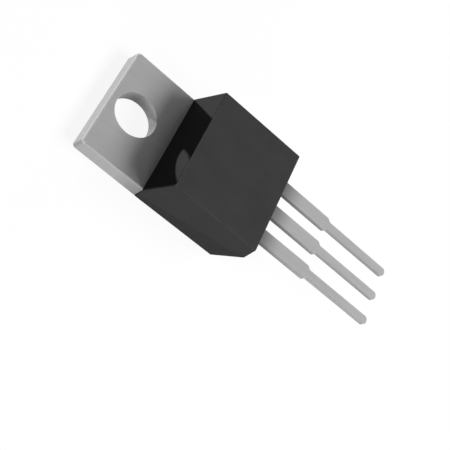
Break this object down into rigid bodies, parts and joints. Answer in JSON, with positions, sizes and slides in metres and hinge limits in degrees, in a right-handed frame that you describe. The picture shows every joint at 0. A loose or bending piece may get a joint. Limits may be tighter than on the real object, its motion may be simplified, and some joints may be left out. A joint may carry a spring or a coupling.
{
  "type": "voltage regulator",
  "caption": "Linear voltage regulator in a flat moulded power package: black resin body, bare heat tab with a mounting hole, and flat stepped leads in a row.",
  "frame": {"origin": "centre of the tab's mounting hole, on the tab's back face", "axes": "+Z out of the front face along the hole, +Y from the leads towards the free end of the tab, +X to the right in front view; the part lies on its back"},
  "size_m": [0.01, 0.0278, 0.0046],
  "materials": {
    "plated_copper": "satin",
    "moulding_resin": "matte",
    "silicon": "satin",
    "solder": "satin",
    "bond_wire": "satin"
  },
  "bodies": {
    "root": {"tab_and_ground_lead": "plated_copper", "input_lead": "plated_copper", "output_lead": "plated_copper", "moulded_body": "moulding_resin", "regulator_die": "silicon", "die_attach_solder": "solder", "input_bond_wire": "bond_wire", "output_bond_wire": "bond_wire", "ground_bond_wire": "bond_wire"}
  },
  "joints": []
}
